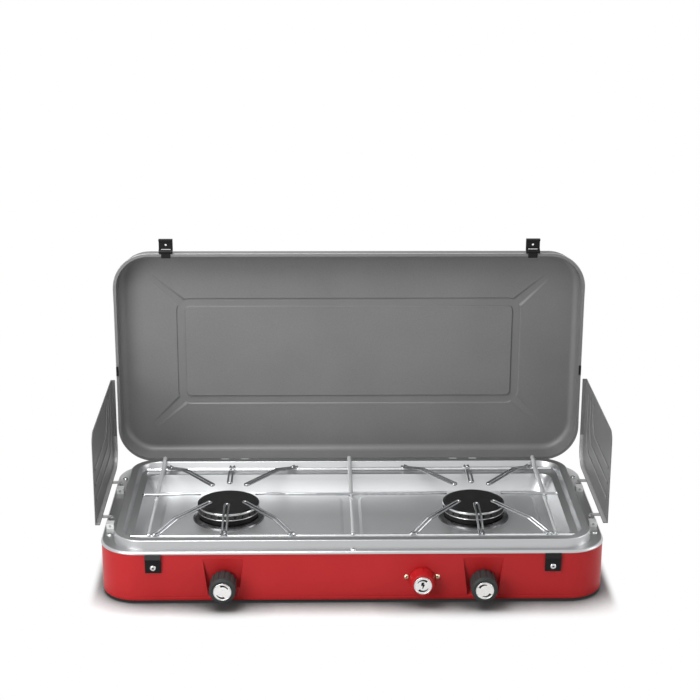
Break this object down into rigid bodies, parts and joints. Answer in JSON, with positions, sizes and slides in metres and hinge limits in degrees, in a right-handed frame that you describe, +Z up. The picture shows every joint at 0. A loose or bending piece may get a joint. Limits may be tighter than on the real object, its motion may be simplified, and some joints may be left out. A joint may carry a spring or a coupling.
{
  "type": "camping stove",
  "caption": "Folding gas stove: red pressed case, steel drip tray, burners under welded wire pan supports, hinged grey lid and side wind screens.",
  "frame": {"origin": "on the ground under the middle of the open stove's bounding box", "axes": "+X along the front to the user's right, +Y from the knobs to the lid, +Z up"},
  "size_m": [0.697, 0.3854, 0.4177],
  "materials": {
    "red_paint": "satin powder coat",
    "grey_paint": "satin speckled paint",
    "stainless": "brushed",
    "chrome_wire": "plated",
    "zinc_steel": "zinc plated",
    "burner_black": "black enamel",
    "burner_steel": "pressed steel",
    "brass": "machined",
    "pipe": "drawn tube",
    "black_plastic": "moulded",
    "knob_grey": "moulded",
    "red_plastic": "moulded",
    "disc": "printed disc",
    "rubber": "matte",
    "ceramic": "glazed",
    "insulation": "silicone sleeve"
  },
  "bodies": {
    "base": {"case": "red_paint", "feet": "rubber", "drip_tray": "stainless", "tray_screws": "zinc_steel", "front_cross_wire": "chrome_wire", "rear_cross_wire": "chrome_wire", "support_bar_centre": "chrome_wire", "manifold": "pipe", "gas_inlet": "brass", "igniter_body": "black_plastic", "igniter_screws": "brass", "spark_pins": "zinc_steel", "catch_screws": "zinc_steel", "hinge_bases": "zinc_steel", "hinge_pins": "zinc_steel", "hinge_blocks": "zinc_steel", "support_bar_left": "chrome_wire", "support_bar_right": "chrome_wire", "spokes_left": "chrome_wire", "spokes_right": "chrome_wire", "burner_collar_left": "chrome_wire", "burner_collar_right": "chrome_wire", "burner_cup_left": "burner_black", "burner_cup_right": "burner_black", "port_ring_left": "burner_black", "port_ring_right": "burner_black", "burner_cap_left": "burner_black", "burner_cap_right": "burner_black", "mixing_tube_left": "burner_steel", "mixing_tube_right": "burner_steel", "jet_left": "brass", "jet_right": "brass", "valve_left": "brass", "valve_right": "brass", "electrode_left": "ceramic", "electrode_right": "ceramic", "ignition_lead_left": "insulation", "ignition_lead_right": "insulation", "catch_left": "black_plastic", "catch_right": "black_plastic"},
    "lid": {"lid_shell": "grey_paint", "hinge_lid_leaves": "zinc_steel", "latch_brackets": "black_plastic", "latch_pins": "zinc_steel", "screen_clips": "black_plastic"},
    "screen_left": {"wind_screen_left": "grey_paint", "screen_hooks_left": "zinc_steel"},
    "screen_right": {"wind_screen_right": "grey_paint", "screen_hooks_right": "zinc_steel"},
    "tap_left": {"knob_left": "knob_grey", "knob_disc_left": "disc", "valve_stem_left": "zinc_steel"},
    "tap_right": {"knob_right": "knob_grey", "knob_disc_right": "disc", "valve_stem_right": "zinc_steel"},
    "spark_knob": {"igniter_knob": "red_plastic", "igniter_disc": "disc"},
    "latch_left": {"lid_latch_left": "black_plastic"},
    "latch_right": {"lid_latch_right": "black_plastic"}
  },
  "joints": [
    {"name": "lid_hinge", "type": "hinge", "parent": "base", "child": "lid", "pos_m": [0, 0.15175, 0.0782], "axis": [1, 0, 0], "range_deg": [0, 90]},
    {"name": "screen_left_fold", "type": "hinge", "parent": "base", "child": "screen_left", "pos_m": [-0.3285, -0.00735, 0.078], "axis": [0, 1, 0], "range_deg": [0, 86]},
    {"name": "screen_right_fold", "type": "hinge", "parent": "base", "child": "screen_right", "pos_m": [0.3285, -0.00735, 0.078], "axis": [0, -1, 0], "range_deg": [0, 86]},
    {"name": "tap_left_turn", "type": "hinge", "parent": "base", "child": "tap_left", "pos_m": [-0.172, -0.17735, 0.03], "axis": [0, -1, 0], "range_deg": [0, 270]},
    {"name": "tap_right_turn", "type": "hinge", "parent": "base", "child": "tap_right", "pos_m": [0.172, -0.17735, 0.03], "axis": [0, -1, 0], "range_deg": [0, 270]},
    {"name": "spark_knob_turn", "type": "hinge", "parent": "base", "child": "spark_knob", "pos_m": [0.091, -0.17535, 0.034], "axis": [0, 1, 0], "range_deg": [0, 90], "stiffness_Nm_per_rad": 0.06},
    {"name": "latch_left_swing", "type": "hinge", "parent": "lid", "child": "latch_left", "pos_m": [-0.264, 0.15425, 0.3997], "axis": [1, 0, 0], "range_deg": [0, 90]},
    {"name": "latch_right_swing", "type": "hinge", "parent": "lid", "child": "latch_right", "pos_m": [0.264, 0.15425, 0.3997], "axis": [1, 0, 0], "range_deg": [0, 90]}
  ]
}
